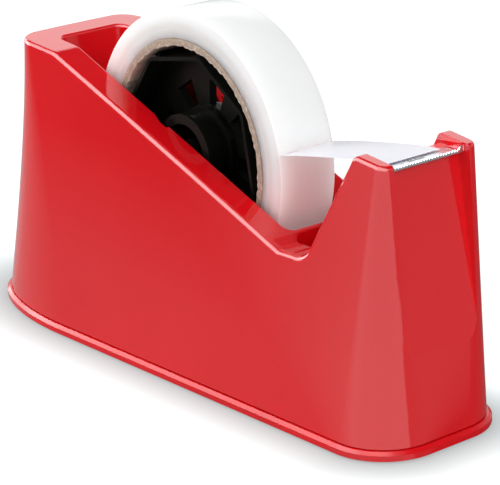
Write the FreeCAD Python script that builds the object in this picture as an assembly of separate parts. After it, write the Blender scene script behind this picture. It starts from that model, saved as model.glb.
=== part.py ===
import FreeCAD, Part
import math
import os
from FreeCAD import Vector

# Weighted desk tape dispenser, in millimetres.
# +X points to the cutter, +Y to the left of a user who faces the cutter, +Z up.
# The origin is the middle of the base, on the surface that the dispenser stands on.

# Base outline: straight front and sides, round front corners, a half-ellipse tail
BASE_LENGTH = 241.5
BASE_WIDTH = 64.0
FRONT_CORNER_RADIUS = 21.8
TAIL_LENGTH = 64.0
TAIL_SPLIT_ANGLE = 35.0

# Non-slip pad, let into the underside of the base plate
PAD_PROUD = 0.4
PAD_THICKNESS = 1.8
PAD_INSET = 4.5
PAD_GAP = 0.3

# Base plate: a flange, the land that the housing stands on, and a locating rib inside it
FLANGE_HEIGHT = 3.1
FLANGE_LEDGE = 1.8
FLANGE_CHAMFER = 1.1
LAND_HEIGHT = 0.4
LAND_INSET = 0.8
RIB_HEIGHT = 2.5
RIB_WIDTH = 2.0
RIB_CLEARANCE = 0.2

# Housing: a moulded shell whose plan shrinks from the foot to the crown
WALL = 2.5
CROWN_HEIGHT = 112.0
CROWN_FRONT_SETBACK = 9.55
CROWN_FRONT_HALF_WIDTH = 20.3
CROWN_REAR_HALF_WIDTH = 26.9
CROWN_FRONT_RADIUS = 1.6
CROWN_REAR_RADIUS = 9.0
OUTER_EDGE_RADIUS = 1.4
HOLLOW_CHORDS = 3

# Side profile of the housing: plateau, slope, valley and cutter tower
PLATEAU_DROP = 1.4
PLATEAU_LENGTH = 23.6
PLATEAU_FALL = 2.4
SLOPE_FOOT_Z = 61.3
VALLEY_LENGTH = 12.9
TOWER_FOOT_DEPTH = 43.25
TOWER_DEPTH = 22.35
TOWER_DROP = 11.4
CHEEK_FALL = 0.124
PLATEAU_CREASE_RADIUS = 8.0
SLOPE_FOOT_RADIUS = 3.0
VALLEY_RADIUS = 8.0
TOWER_CORNER_RADIUS = 2.5

# Well that the roll turns in
WELL_REAR_SETBACK = 10.3
WELL_FRONT_SETBACK = 7.4
WELL_WIDTH = 29.0
WELL_FLOOR_GAP = 4.3
WELL_CORNER_RADIUS = 3.5
WELL_FLOOR_RADIUS = 10.0
WELL_WALL = 4.5
LIP_WALL = 2.6
RIM_EDGE_RADIUS = 1.0

# Finger pocket between the well and the tower, and the shallow scoop round its mouth
POCKET_WIDTH = 28.6
POCKET_FLOOR_Z = 47.0
POCKET_FRONT_SETBACK = 0.5
POCKET_CORNER_RADIUS = 3.0
POCKET_FLOOR_RADIUS = 4.0
SCOOP_HALF_WIDTH = 23.0
SCOOP_DEPTH = 0.5
SCOOP_FRONT_SETBACK = 5.0

# Axle, and the slots in the well's side walls that it drops into
ROLL_FRONT_GAP = 5.3
ROLL_REAR_GAP = 20.6
AXLE_DEPTH = 6.59
AXLE_DIAMETER = 4.0
AXLE_SLOT_CLEARANCE = 0.05
AXLE_END_GAP = 0.3
SLOT_DEPTH = 2.0
SLOT_LEAN = 45.0

# Tower: landing platform between two cheeks, and the panel set back in its front
CUTTER_GAP_WIDTH = 33.6
PLATFORM_DROP = 5.0
PANEL_TOP_SETBACK = 5.2
PANEL_FOOT_Z = 34.0

# Blade: a folded steel strip with a tang in a slot of the platform, a slotted seat and upright teeth
BLADE_END_GAP = 0.3
BLADE_THICKNESS = 0.6
BLADE_DEPTH = 6.0
BLADE_OVERHANG = 2.6
BLADE_APRON = 0.9
BLADE_TANG = 3.0
BLADE_EAR_HEIGHT = 3.2
BLADE_EAR_LENGTH = 1.5
BLADE_SEAT_CLEARANCE = 0.1
BLADE_GROOVE_LENGTH = 20.0
BLADE_GROOVE_WIDTH = 0.8
BLADE_GROOVE_SETBACK = 4.4
TOOTH_COUNT = 13
TOOTH_TOP = 1.8
TOOTH_DEPTH = 1.1

# Roll: cardboard core with the wound tape, and the strip that reaches the blade
CORE_BORE = 76.0
CORE_WALL = 3.0
TAPE_WIDTH = 24.6
TAPE_DIAMETER = 101.8
STRIP_THICKNESS = 0.3
STRIP_LEAVING_ANGLE = 10.5
STRIP_BOW = 1.2
STRIP_GAP = 0.3
STRIP_LAP = 2.2

# Hub: a small-core spool on the axle, with a large-core wheel in two halves round it
SPOOL_LENGTH = 27.2
SPOOL_DIAMETER = 25.4
SPOOL_WALL = 2.0
SPOOL_WEB = 2.0
SPOOL_TUBE_DIAMETER = 9.0
COLLAR_DIAMETER = 28.4
COLLAR_WIDTH = 1.4
COLLAR_CLEARANCE = 0.05
AXLE_RUNNING_CLEARANCE = 0.08
WHEEL_SIDES = 8
WHEEL_APOTHEM = 34.2
WHEEL_TURN = 10.0
WHEEL_CORNER_RADIUS = 4.0
WHEEL_RIM_WALL = 1.3
WHEEL_WIDTH = 24.4
WHEEL_WEB = 1.6
WHEEL_BOSS_WALL = 2.4
WHEEL_BOSS_LENGTH = 8.0
WHEEL_BOSS_CLEARANCE = 0.05
WINDOW_INNER_RADIUS = 15.9
WINDOW_OUTER_RADIUS = 25.0
WINDOW_ANGLE = 21.0
GRIP_WIDTH = 2.6
GRIP_CLEARANCE = 0.05
GRIP_SETBACK = 4.0

# Ballast blocks on the base plate, and the screws that close the housing
BALLAST_CLEARANCE = 0.3
FLOOR_WEIGHT_REAR_SETBACK = 0.5
FLOOR_WEIGHT_FRONT_SETBACK = 3.2
FLOOR_WEIGHT_WIDTH = 44.0
TOWER_WEIGHT_SETBACK = 17.75
TOWER_WEIGHT_LENGTH = 33.0
TOWER_WEIGHT_WIDTH = 34.0
TOWER_WEIGHT_HEIGHT = 38.0
WEIGHT_CHAMFER = 2.0
SCREW_DIAMETER = 3.0
SCREW_HEAD_DIAMETER = 5.6
SCREW_HEAD_HEIGHT = 1.6
SCREW_LENGTH = 12.0
SCREW_CLEARANCE = 0.3
SCREW_THREAD_CLEARANCE = 0.05
SCREW_SEAT_HEIGHT = 3.0
SCREW_BOSS_DIAMETER = 7.6
SCREW_BOSS_TOP_Z = 46.0
SCREW_SPREAD = 24.0
SCREW_WALL_OFFSET = 2.6

# Levels and places that follow from the sizes above
BASE_FRONT_X = BASE_LENGTH / 2.0
TAIL_CENTRE_X = TAIL_LENGTH - BASE_FRONT_X
CROWN_FRONT_X = BASE_FRONT_X - CROWN_FRONT_SETBACK
VALLEY_END_X = BASE_FRONT_X - TOWER_FOOT_DEPTH
SLOPE_FOOT_X = VALLEY_END_X - VALLEY_LENGTH
WELL_FRONT_X = SLOPE_FOOT_X - WELL_FRONT_SETBACK
AXLE_X = WELL_FRONT_X - ROLL_FRONT_GAP - TAPE_DIAMETER / 2.0
WELL_REAR_X = AXLE_X - TAPE_DIAMETER / 2.0 - ROLL_REAR_GAP
CROWN_REAR_X = WELL_REAR_X - WELL_REAR_SETBACK
SLOPE_TOP_X = CROWN_REAR_X + PLATEAU_LENGTH
SLOPE_TOP_Z = CROWN_HEIGHT - PLATEAU_DROP - PLATEAU_FALL
SLOPE_FALL = (SLOPE_TOP_Z - SLOPE_FOOT_Z) / (SLOPE_FOOT_X - SLOPE_TOP_X)
AXLE_Z = SLOPE_FOOT_Z + (SLOPE_FOOT_X - AXLE_X) * SLOPE_FALL - AXLE_DEPTH
WELL_FLOOR_Z = AXLE_Z - TAPE_DIAMETER / 2.0 - WELL_FLOOR_GAP
POCKET_FRONT_X = VALLEY_END_X - POCKET_FRONT_SETBACK
SCOOP_FRONT_X = VALLEY_END_X - SCOOP_FRONT_SETBACK
TOWER_BACK_TOP_X = BASE_FRONT_X - TOWER_DEPTH
TOWER_BACK_TOP_Z = CROWN_HEIGHT - TOWER_DROP
PLATFORM_Z = TOWER_BACK_TOP_Z - PLATFORM_DROP
FLOOR_WEIGHT_REAR_X = WELL_REAR_X + FLOOR_WEIGHT_REAR_SETBACK
FLOOR_WEIGHT_FRONT_X = WELL_FRONT_X - FLOOR_WEIGHT_FRONT_SETBACK
TOWER_WEIGHT_FRONT_X = BASE_FRONT_X - TOWER_WEIGHT_SETBACK
TOWER_WEIGHT_REAR_X = TOWER_WEIGHT_FRONT_X - TOWER_WEIGHT_LENGTH
PLATE_TOP_Z = PAD_PROUD + FLANGE_HEIGHT
FOOT_Z = PLATE_TOP_Z + LAND_HEIGHT
FOOT_FRONT_X = BASE_FRONT_X - FLANGE_LEDGE
WELL_HALF = WELL_WIDTH / 2.0
CUTTER_HALF = CUTTER_GAP_WIDTH / 2.0
TAPE_HALF = TAPE_WIDTH / 2.0
WHEEL_HALF = WHEEL_WIDTH / 2.0
POCKET_REAR_X = WELL_FRONT_X + LIP_WALL
FAR = 400.0


def xz_profile(corners):
    """Closed wire in the XZ plane from (x, z, corner radius) triples, every corner rounded as given."""
    ends = []
    count = len(corners)
    for i in range(count):
        x, z, radius = corners[i]
        before = corners[i - 1]
        after = corners[(i + 1) % count]
        corner = Vector(x, 0, z)
        back = (Vector(before[0], 0, before[1]) - corner).normalize()
        ahead = (Vector(after[0], 0, after[1]) - corner).normalize()
        if radius == 0:
            ends.append((corner, None, corner))
            continue
        half = back.getAngle(ahead) / 2.0
        run = radius / math.tan(half)
        bisector = (back + ahead).normalize()
        middle = corner + bisector * (radius / math.sin(half) - radius)
        ends.append((corner + back * run, middle, corner + ahead * run))
    edges = []
    for i in range(count):
        start, middle, stop = ends[i]
        if middle is not None:
            edges.append(Part.Arc(start, middle, stop).toShape())
        edges.append(Part.makeLine(stop, ends[(i + 1) % count][0]))
    return Part.Wire(edges)


def bar_along_y(corners, half_width):
    """Solid bar along Y, from -half_width to +half_width, with an XZ profile."""
    face = Part.Face(xz_profile(corners))
    face.translate(Vector(0, -half_width, 0))
    return face.extrude(Vector(0, 2.0 * half_width, 0))


def rounded_block(x0, x1, half_y, z0, z1, radius):
    """Block with its four upright edges rounded."""
    block = Part.makeBox(x1 - x0, 2.0 * half_y, z1 - z0, Vector(x0, -half_y, z0))
    upright = [e for e in block.Edges if abs(e.tangentAt(e.FirstParameter).z) > 0.9]
    return block.makeFillet(radius, upright)


def cylinder_y(radius, y0, y1, x=AXLE_X, z=AXLE_Z):
    """Cylinder along Y."""
    return Part.makeCylinder(radius, y1 - y0, Vector(x, y0, z), Vector(0, 1, 0))


def ring_y(outer, inner, y0, y1):
    """Ring round the axle."""
    return cylinder_y(outer, y0, y1).cut(cylinder_y(inner, y0, y1))


def foot_wire(z, inset, chords=0):
    """Base outline at height z, drawn in by inset; each curve is one arc, or that many chords."""
    front = BASE_FRONT_X - inset
    half = BASE_WIDTH / 2.0 - inset
    radius = FRONT_CORNER_RADIUS - inset
    centre_x = front - radius
    centre_y = half - radius
    tail = Part.Ellipse(Vector(TAIL_CENTRE_X, 0, z), TAIL_LENGTH - inset, half)
    split = math.radians(TAIL_SPLIT_ANGLE)
    edges = corner_edges(centre_x, -centre_y, radius, -90.0, z, chords)
    edges.append(Part.makeLine(Vector(front, -centre_y, z), Vector(front, centre_y, z)))
    edges += corner_edges(centre_x, centre_y, radius, 0.0, z, chords)
    edges.append(Part.makeLine(Vector(centre_x, half, z), Vector(TAIL_CENTRE_X, half, z)))
    edges += tail_edges(tail, math.pi / 2.0, math.pi - split, chords)
    edges += tail_edges(tail, math.pi - split, math.pi + split, chords)
    edges += tail_edges(tail, math.pi + split, math.pi * 1.5, chords)
    edges.append(Part.makeLine(Vector(TAIL_CENTRE_X, -half, z), Vector(centre_x, -half, z)))
    return Part.Wire(edges)


def crown_wire(inset, chords=0):
    """Outline of the housing at its crown height, with as many edges as the foot outline."""
    z = CROWN_HEIGHT
    front = CROWN_FRONT_X - inset
    rear = CROWN_REAR_X + inset
    front_half = CROWN_FRONT_HALF_WIDTH - inset
    rear_half = CROWN_REAR_HALF_WIDTH - inset
    front_radius = CROWN_FRONT_RADIUS
    rear_radius = CROWN_REAR_RADIUS - inset
    front_y = front_half - front_radius
    rear_y = rear_half - rear_radius
    edges = corner_edges(front - front_radius, -front_y, front_radius, -90.0, z, chords)
    edges.append(Part.makeLine(Vector(front, -front_y, z), Vector(front, front_y, z)))
    edges += corner_edges(front - front_radius, front_y, front_radius, 0.0, z, chords)
    front_x = front - front_radius
    rear_x = rear + rear_radius
    edges.append(Part.makeLine(Vector(front_x, front_half, z), Vector(rear_x, rear_half, z)))
    edges += corner_edges(rear + rear_radius, rear_y, rear_radius, 90.0, z, chords)
    pieces = max(chords, 1)
    for i in range(pieces):
        y0 = rear_y - 2.0 * rear_y * i / pieces
        y1 = rear_y - 2.0 * rear_y * (i + 1) / pieces
        edges.append(Part.makeLine(Vector(rear, y0, z), Vector(rear, y1, z)))
    edges += corner_edges(rear + rear_radius, -rear_y, rear_radius, 180.0, z, chords)
    edges.append(Part.makeLine(Vector(rear_x, -rear_half, z), Vector(front_x, -front_half, z)))
    return Part.Wire(edges)


def corner_edges(cx, cy, radius, start_angle, z, chords):
    """Quarter circle that turns left from start_angle, in degrees, or its chords."""
    count = max(chords, 2)
    points = []
    for i in range(count + 1):
        angle = math.radians(start_angle + 90.0 * i / count)
        points.append(Vector(cx + radius * math.cos(angle), cy + radius * math.sin(angle), z))
    if chords == 0:
        return [Part.Arc(*points).toShape()]
    return [Part.makeLine(points[i], points[i + 1]) for i in range(count)]


def tail_edges(ellipse, start, stop, chords):
    """Part of the tail's ellipse between two parameters, or its chords."""
    if chords == 0:
        return [Part.Arc(ellipse, start, stop).toShape()]
    step = (stop - start) / chords
    points = [ellipse.value(start + i * step) for i in range(chords + 1)]
    return [Part.makeLine(points[i], points[i + 1]) for i in range(chords)]


def tapered_body(inset, chords=0):
    """The housing's outer form, or its hollow when drawn in by the wall, before the top is shaped."""
    foot = foot_wire(FOOT_Z, FLANGE_LEDGE + inset, chords)
    return Part.makeLoft([foot, crown_wire(inset, chords)], True, True)


def top_profile(wall):
    """Side profile under the housing's top surfaces, or under their inner faces at the given wall."""
    rear_z = SLOPE_TOP_Z + (SLOPE_TOP_X + BASE_LENGTH) * PLATEAU_FALL / PLATEAU_LENGTH
    front_z = TOWER_BACK_TOP_Z - (BASE_LENGTH - TOWER_BACK_TOP_X) * CHEEK_FALL
    return [
        (-BASE_LENGTH, -FAR, 0),
        (-BASE_LENGTH, rear_z - wall, 0),
        (SLOPE_TOP_X, SLOPE_TOP_Z - wall, PLATEAU_CREASE_RADIUS),
        (SLOPE_FOOT_X, SLOPE_FOOT_Z - wall, SLOPE_FOOT_RADIUS),
        (VALLEY_END_X + wall, SLOPE_FOOT_Z - wall, VALLEY_RADIUS),
        (TOWER_BACK_TOP_X + wall, TOWER_BACK_TOP_Z - wall, TOWER_CORNER_RADIUS),
        (BASE_LENGTH, front_z - wall, 0),
        (BASE_LENGTH, -FAR, 0),
    ]


def front_face_x(z):
    """X of the housing's front face at height z."""
    share = (z - FOOT_Z) / (CROWN_HEIGHT - FOOT_Z)
    return FOOT_FRONT_X + (CROWN_FRONT_X - FOOT_FRONT_X) * share


def slope_z(x):
    """Height of the straight slope at x."""
    return SLOPE_FOOT_Z + (SLOPE_FOOT_X - x) * SLOPE_FALL


def outer_form():
    """Outside of the housing, with its long edges rounded."""
    form = tapered_body(0.0).common(bar_along_y(top_profile(0.0), BASE_WIDTH))
    rim = [e for e in form.Edges if is_rim_edge(e)]
    return form.makeFillet(OUTER_EDGE_RADIUS, rim)


def is_rim_edge(edge):
    """True where a top surface of the outer form meets its sides, its back or its front."""
    box = edge.BoundBox
    if box.ZMax < SLOPE_FOOT_Z - WALL:
        return False
    crosses = box.YLength > BASE_WIDTH / 4.0
    at_end = box.XMax < SLOPE_TOP_X - CROWN_REAR_RADIUS or box.XMin > TOWER_BACK_TOP_X + WALL
    if crosses:
        return at_end
    upright = box.ZLength > CROWN_HEIGHT / 2.0
    return not upright


def well_space():
    """Space of the well: rounded corners in plan, and a rounded floor for the roll."""
    plan = rounded_block(WELL_REAR_X, WELL_FRONT_X, WELL_HALF, WELL_FLOOR_Z, FAR, WELL_CORNER_RADIUS)
    side = [
        (WELL_REAR_X, FAR, 0),
        (WELL_REAR_X, WELL_FLOOR_Z, WELL_FLOOR_RADIUS),
        (WELL_FRONT_X, WELL_FLOOR_Z, WELL_FLOOR_RADIUS),
        (WELL_FRONT_X, FAR, 0),
    ]
    return plan.common(bar_along_y(side, WELL_WIDTH))


def pocket_space():
    """Space of the finger pocket between the well's front lip and the tower."""
    half = POCKET_WIDTH / 2.0
    plan = rounded_block(POCKET_REAR_X, POCKET_FRONT_X, half, POCKET_FLOOR_Z, FAR, POCKET_CORNER_RADIUS)
    side = [
        (POCKET_REAR_X, FAR, 0),
        (POCKET_REAR_X, POCKET_FLOOR_Z, POCKET_FLOOR_RADIUS),
        (POCKET_FRONT_X, POCKET_FLOOR_Z, POCKET_FLOOR_RADIUS),
        (POCKET_FRONT_X, FAR, 0),
    ]
    return plan.common(bar_along_y(side, POCKET_WIDTH))


def scoop_space():
    """Shallow scoop that drops at 45 degrees from the front lip to the valley beside the pocket."""
    floor_z = SLOPE_FOOT_Z - SCOOP_DEPTH
    lip_x = POCKET_REAR_X - RIM_EDGE_RADIUS / 2.0
    drop = slope_z(lip_x) - floor_z
    reach = VALLEY_RADIUS
    side = [
        (lip_x - reach, floor_z + drop + reach, 0),
        (lip_x + drop, floor_z, RIM_EDGE_RADIUS),
        (SCOOP_FRONT_X, floor_z, VALLEY_RADIUS),
        (SCOOP_FRONT_X + 2.0 * reach, floor_z + 3.0 * reach, 0),
    ]
    return bar_along_y(side, SCOOP_HALF_WIDTH)


def cutter_gap():
    """Space between the cheeks, above the platform and in front of the set-back panel."""
    side = [
        (VALLEY_END_X, FAR, 0),
        (VALLEY_END_X, PLATFORM_Z, 0),
        (panel_top_x(), PLATFORM_Z, 0),
        (front_face_x(PANEL_FOOT_Z), PANEL_FOOT_Z, 0),
        (FAR, PANEL_FOOT_Z, 0),
        (FAR, FAR, 0),
    ]
    return bar_along_y(side, CUTTER_HALF)


def panel_top_x():
    """X of the set-back panel at the platform."""
    return front_face_x(PLATFORM_Z) - PANEL_TOP_SETBACK


def axle_slot(side):
    """Blind slot in one side wall of the well: it leans back and up from the axle."""
    radius = AXLE_DIAMETER / 2.0 + AXLE_SLOT_CLEARANCE
    y0 = WELL_HALF - SLOT_DEPTH if side > 0 else -WELL_HALF - SLOT_DEPTH
    slot = Part.makeBox(2.0 * radius, 2.0 * SLOT_DEPTH, FAR, Vector(AXLE_X - radius, y0, AXLE_Z))
    slot.rotate(Vector(AXLE_X, 0, AXLE_Z), Vector(0, 1, 0), -SLOT_LEAN)
    return slot.fuse(cylinder_y(radius, y0, y0 + 2.0 * SLOT_DEPTH))


def guard_blocks():
    """Solid regions that the housing's hollow leaves round the well, the pocket and the cutter."""
    half = WELL_HALF + WELL_WALL
    tub = Part.makeBox(
        POCKET_REAR_X - WELL_REAR_X + WELL_WALL,
        2.0 * half,
        FAR,
        Vector(WELL_REAR_X - WELL_WALL, -half, WELL_FLOOR_Z - WALL),
    )
    pocket_half = POCKET_WIDTH / 2.0 + WALL
    pocket = Part.makeBox(
        POCKET_FRONT_X - POCKET_REAR_X + WALL,
        2.0 * pocket_half,
        FAR,
        Vector(POCKET_REAR_X, -pocket_half, POCKET_FLOOR_Z - WALL),
    )
    inner_x = panel_top_x() - WALL
    foot_x = front_face_x(PANEL_FOOT_Z) - WALL
    side = [
        (VALLEY_END_X, FAR, 0),
        (VALLEY_END_X, PLATFORM_Z - WALL, 0),
        (inner_x, PLATFORM_Z - WALL, 0),
        (foot_x, PANEL_FOOT_Z, 0),
        (FAR, PANEL_FOOT_Z, 0),
        (FAR, FAR, 0),
    ]
    return [tub, pocket, bar_along_y(side, BASE_WIDTH)]


def screw_places():
    """Plan positions of the four screws that close the housing."""
    rear_x = WELL_REAR_X - WELL_WALL - SCREW_WALL_OFFSET
    front_x = POCKET_REAR_X + SCREW_WALL_OFFSET
    return [(x, y) for x in (rear_x, front_x) for y in (-SCREW_SPREAD / 2.0, SCREW_SPREAD / 2.0)]


def screw_hole_radius():
    """Clearance hole for a screw shank in the base plate."""
    return SCREW_DIAMETER / 2.0 + SCREW_CLEARANCE


def housing():
    """One-piece moulded shell with the well, the pocket and the cutter tower."""
    shell = outer_form()
    shell = shell.cut(well_space())
    lip = [e for e in shell.Edges if is_lip_edge(e)]
    shell = shell.makeFillet(RIM_EDGE_RADIUS, lip)
    shell = shell.cut([pocket_space(), scoop_space(), cutter_gap()])
    inside = tapered_body(WALL, HOLLOW_CHORDS).common(bar_along_y(top_profile(WALL), BASE_WIDTH))
    shell = shell.cut(inside.cut(guard_blocks()))
    seat_z = PLATE_TOP_Z + SCREW_SEAT_HEIGHT
    pilot = SCREW_DIAMETER / 2.0 + SCREW_THREAD_CLEARANCE
    for x, y in screw_places():
        boss = Part.makeCylinder(SCREW_BOSS_DIAMETER / 2.0, SCREW_BOSS_TOP_Z - seat_z, Vector(x, y, seat_z))
        shell = shell.fuse(boss.cut(well_space()))
        shell = shell.cut(Part.makeCylinder(pilot, SCREW_LENGTH, Vector(x, y, seat_z)))
    shell = shell.cut([axle_slot(1), axle_slot(-1), blade_slot()])
    return shell.removeSplitter()


def is_lip_edge(edge):
    """True where the well's walls meet the top surfaces."""
    box = edge.BoundBox
    inside_x = box.XMin > WELL_REAR_X - 0.01 and box.XMax < WELL_FRONT_X + 0.01
    inside_y = box.YMax < WELL_HALF + 0.01 and box.YMin > -WELL_HALF - 0.01
    high = box.ZMin > SLOPE_FOOT_Z
    return inside_x and inside_y and high


def base_plate():
    """Flanged plate that closes the housing, with seats for the screws."""
    upright = FLANGE_HEIGHT - FLANGE_CHAMFER
    flange = Part.Face(foot_wire(PAD_PROUD, 0.0)).extrude(Vector(0, 0, upright))
    sides = [foot_wire(PAD_PROUD + upright, 0.0), foot_wire(PLATE_TOP_Z, FLANGE_CHAMFER)]
    slant = Part.makeLoft(sides, True, True)
    land_inset = FLANGE_LEDGE + LAND_INSET
    land = Part.Face(foot_wire(PLATE_TOP_Z, land_inset)).extrude(Vector(0, 0, LAND_HEIGHT))
    plate = flange.fuse([slant, land] + locating_ribs())
    recess = Part.Face(foot_wire(0.0, PAD_INSET - PAD_GAP)).extrude(Vector(0, 0, PAD_THICKNESS))
    plate = plate.cut(recess)
    head = SCREW_HEAD_DIAMETER / 2.0 + SCREW_CLEARANCE
    head_top = head_seat_z()
    for x, y in screw_places():
        place = Vector(x, y, PLATE_TOP_Z)
        boss = Part.makeCylinder(SCREW_BOSS_DIAMETER / 2.0 + WALL / 2.0, SCREW_SEAT_HEIGHT, place)
        plate = plate.fuse(boss)
        plate = plate.cut(Part.makeCylinder(screw_hole_radius(), FAR, Vector(x, y, 0)))
        plate = plate.cut(Part.makeCylinder(head, head_top, Vector(x, y, 0)))
    return plate.removeSplitter()


def locating_ribs():
    """Ribs that centre the housing: one inside each of its long walls, and one inside its front."""
    lean = RIB_HEIGHT / (CROWN_HEIGHT - FOOT_Z)
    wall_y = BASE_WIDTH / 2.0 - FLANGE_LEDGE - WALL
    side_y = wall_y - (wall_y - CROWN_FRONT_HALF_WIDTH + WALL) * lean - RIB_CLEARANCE
    front_x = front_face_x(FOOT_Z + RIB_HEIGHT) - WALL - RIB_CLEARANCE
    length = BASE_FRONT_X - FRONT_CORNER_RADIUS - TAIL_CENTRE_X
    breadth = BASE_WIDTH - 2.0 * FRONT_CORNER_RADIUS
    ribs = [Part.makeBox(RIB_WIDTH, breadth, RIB_HEIGHT, Vector(front_x - RIB_WIDTH, -breadth / 2.0, FOOT_Z))]
    for y in (-side_y, side_y - RIB_WIDTH):
        ribs.append(Part.makeBox(length, RIB_WIDTH, RIB_HEIGHT, Vector(TAIL_CENTRE_X, y, FOOT_Z)))
    return ribs


def head_seat_z():
    """Height of the face that the screw heads pull against."""
    return PAD_THICKNESS + SCREW_CLEARANCE + SCREW_HEAD_HEIGHT


def non_slip_pad():
    """Foam rubber sheet in the recess under the base plate."""
    return Part.Face(foot_wire(0.0, PAD_INSET)).extrude(Vector(0, 0, PAD_THICKNESS))


def base_screws():
    """Pan-head screws from below, through the base plate into the housing's bosses."""
    screws = []
    for x, y in screw_places():
        z = head_seat_z()
        crown_z = z - SCREW_HEAD_HEIGHT
        head = Part.makeCylinder(SCREW_HEAD_DIAMETER / 2.0, SCREW_HEAD_HEIGHT, Vector(x, y, crown_z))
        rim = [e for e in head.Edges if e.BoundBox.ZMax < crown_z + 0.01]
        head = head.makeChamfer(SCREW_HEAD_HEIGHT / 3.0, rim)
        shank = Part.makeCylinder(SCREW_DIAMETER / 2.0, SCREW_LENGTH, Vector(x, y, z))
        screws.append(head.fuse(shank).removeSplitter())
    return Part.makeCompound(screws)


def floor_weight():
    """Cast ballast slab on the base plate, under the well."""
    top = WELL_FLOOR_Z - WALL - BALLAST_CLEARANCE
    block = Part.makeBox(
        FLOOR_WEIGHT_FRONT_X - FLOOR_WEIGHT_REAR_X,
        FLOOR_WEIGHT_WIDTH,
        top - FOOT_Z,
        Vector(FLOOR_WEIGHT_REAR_X, -FLOOR_WEIGHT_WIDTH / 2.0, FOOT_Z),
    )
    return block.makeChamfer(WEIGHT_CHAMFER, block.Edges)


def tower_weight():
    """Cast ballast block on the base plate, inside the cutter tower."""
    block = Part.makeBox(
        TOWER_WEIGHT_FRONT_X - TOWER_WEIGHT_REAR_X,
        TOWER_WEIGHT_WIDTH,
        TOWER_WEIGHT_HEIGHT,
        Vector(TOWER_WEIGHT_REAR_X, -TOWER_WEIGHT_WIDTH / 2.0, FOOT_Z),
    )
    return block.makeChamfer(WEIGHT_CHAMFER, block.Edges)


def axle():
    """Steel pin whose ends rest in the slots."""
    reach = WELL_HALF + SLOT_DEPTH - AXLE_END_GAP
    pin = cylinder_y(AXLE_DIAMETER / 2.0, -reach, reach)
    ends = [e for e in pin.Edges if e.Closed]
    return pin.makeChamfer(AXLE_DIAMETER / 10.0, ends)


def small_core_spool():
    """Spool for a small core: axle tube, web and drum."""
    half = SPOOL_LENGTH / 2.0
    radius = SPOOL_DIAMETER / 2.0
    bore = AXLE_DIAMETER / 2.0 + AXLE_RUNNING_CLEARANCE
    drum = ring_y(radius, radius - SPOOL_WALL, -half, half)
    tube = ring_y(SPOOL_TUBE_DIAMETER / 2.0, bore, -half, half)
    web_outer = radius - SPOOL_WALL / 2.0
    web_inner = SPOOL_TUBE_DIAMETER / 2.0 - SPOOL_WALL / 2.0
    web = ring_y(web_outer, web_inner, -SPOOL_WEB / 2.0, SPOOL_WEB / 2.0)
    return drum.fuse([tube, web]).removeSplitter()


def retaining_collars():
    """Push-on rings at both ends of the spool."""
    end = SPOOL_LENGTH / 2.0
    inner = SPOOL_DIAMETER / 2.0 + COLLAR_CLEARANCE
    outer = COLLAR_DIAMETER / 2.0
    near = ring_y(outer, inner, -end, -end + COLLAR_WIDTH)
    far = ring_y(outer, inner, end - COLLAR_WIDTH, end)
    return Part.makeCompound([near, far])


def octagon_face(apothem, corner_radius, y):
    """Octagon with rounded corners in the XZ plane at y, flats set at the wheel's turn."""
    reach = apothem / math.cos(math.pi / WHEEL_SIDES)
    corners = []
    for i in range(WHEEL_SIDES):
        angle = math.radians(WHEEL_TURN) + (i + 0.5) * 2.0 * math.pi / WHEEL_SIDES
        corners.append((AXLE_X + reach * math.cos(angle), AXLE_Z + reach * math.sin(angle), corner_radius))
    face = Part.Face(xz_profile(corners))
    face.translate(Vector(0, y, 0))
    return face


def octagon_bar(apothem, corner_radius, y0, y1):
    """Solid with the rounded octagon as its section."""
    return octagon_face(apothem, corner_radius, y0).extrude(Vector(0, y1 - y0, 0))


def wheel_half(side):
    """Half of the large-core wheel: eight-sided rim, spokes, boss and a grip at each corner."""
    y0, y1 = (0.0, WHEEL_HALF) if side > 0 else (-WHEEL_HALF, 0.0)
    inner_apothem = WHEEL_APOTHEM - WHEEL_RIM_WALL
    rim = octagon_bar(WHEEL_APOTHEM, WHEEL_CORNER_RADIUS, y0, y1)
    rim = rim.cut(octagon_bar(inner_apothem, WHEEL_CORNER_RADIUS - WHEEL_RIM_WALL, y0, y1))
    web_y0, web_y1 = (0.0, WHEEL_WEB) if side > 0 else (-WHEEL_WEB, 0.0)
    bore = SPOOL_DIAMETER / 2.0 + WHEEL_BOSS_CLEARANCE
    boss_radius = bore + WHEEL_BOSS_WALL
    boss_y0, boss_y1 = (0.0, WHEEL_BOSS_LENGTH / 2.0) if side > 0 else (-WHEEL_BOSS_LENGTH / 2.0, 0.0)
    web = octagon_bar(inner_apothem, WHEEL_CORNER_RADIUS - WHEEL_RIM_WALL, web_y0, web_y1)
    web = web.cut([wheel_window(i, web_y0, web_y1) for i in range(WHEEL_SIDES)])
    boss = cylinder_y(boss_radius, boss_y0, boss_y1)
    grips = [wheel_grip(i, side) for i in range(WHEEL_SIDES)]
    half = rim.fuse([web, boss] + grips)
    return half.cut(cylinder_y(bore, y0, y1)).removeSplitter()


def wheel_window(index, y0, y1):
    """Window in the web behind one corner of the rim, with sides along the wheel's radii."""
    points = []
    for radius, side in ((1, -1), (1, 1), (2, 1), (2, -1), (1, -1)):
        reach = WINDOW_INNER_RADIUS if radius == 1 else WINDOW_OUTER_RADIUS
        angle = WHEEL_TURN + (index + 0.5) * 360.0 / WHEEL_SIDES + side * WINDOW_ANGLE / 2.0
        turn = math.radians(angle)
        points.append(Vector(AXLE_X + reach * math.cos(turn), y0, AXLE_Z + reach * math.sin(turn)))
    return Part.Face(Part.makePolygon(points)).extrude(Vector(0, y1 - y0, 0))


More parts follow.
